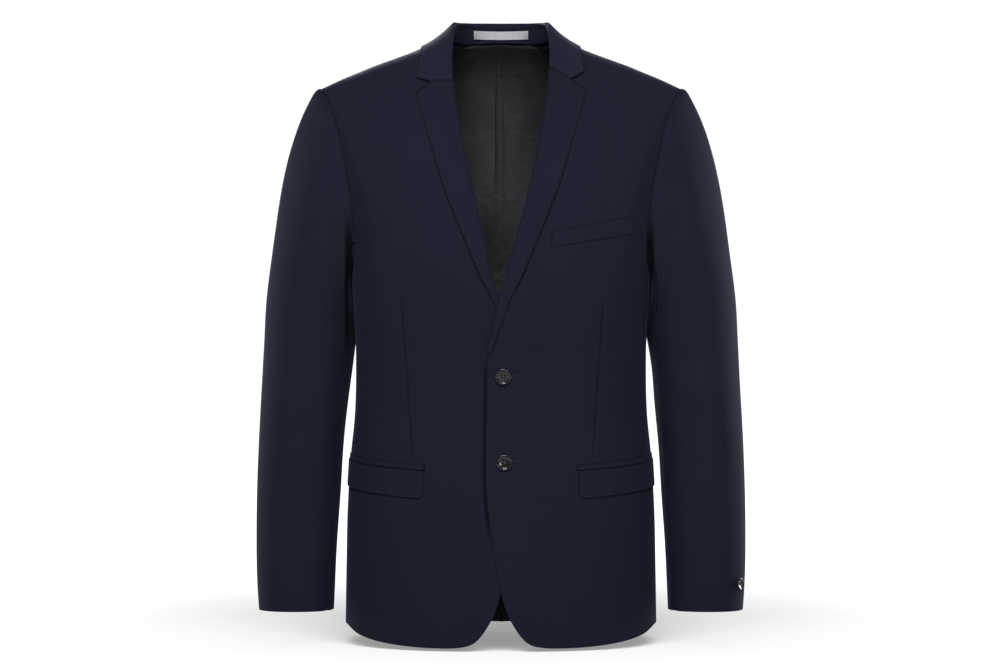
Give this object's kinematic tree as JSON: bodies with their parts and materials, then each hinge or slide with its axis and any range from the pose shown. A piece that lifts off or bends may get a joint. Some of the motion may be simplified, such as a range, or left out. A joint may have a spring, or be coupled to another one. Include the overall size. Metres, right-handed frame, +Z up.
{
  "type": "two-button blazer",
  "caption": "Hollow worn-form tailored jacket with notch lapels, flap pockets, long sleeves and a closed front, held up by whoever wears it.",
  "frame": {"origin": "base of the neck, midway between the shoulder seams' neck ends and level with them", "axes": "+Z up along the body, -Y out of the front, +X towards the wearer's left"},
  "size_m": [0.6048, 0.2571, 0.7688],
  "materials": {
    "navy_cloth": "fine dark navy suiting, matt with a faint sheen",
    "lining": "near-black smooth lining",
    "label": "bare silver-grey woven tape",
    "button": "dark glossy resin"
  },
  "bodies": {
    "root": {"back_left": "navy_cloth", "back_lining_left": "lining", "back_lining_right": "lining", "back_right": "navy_cloth", "breast_welt": "navy_cloth", "collar_fall": "navy_cloth", "collar_stand": "navy_cloth", "cuff_button_left": "button", "cuff_button_right": "button", "front_button_lower": "button", "front_button_upper": "button", "front_left": "navy_cloth", "front_right": "navy_cloth", "lapel_left": "navy_cloth", "lapel_right": "navy_cloth", "neck_label": "label", "pocket_flap_left": "navy_cloth", "pocket_flap_right": "navy_cloth", "pocket_jet_left": "navy_cloth", "pocket_jet_right": "navy_cloth", "side_panel_left": "navy_cloth", "side_panel_right": "navy_cloth", "top_sleeve_left": "navy_cloth", "top_sleeve_right": "navy_cloth", "under_sleeve_left": "navy_cloth", "under_sleeve_right": "navy_cloth"}
  },
  "joints": []
}
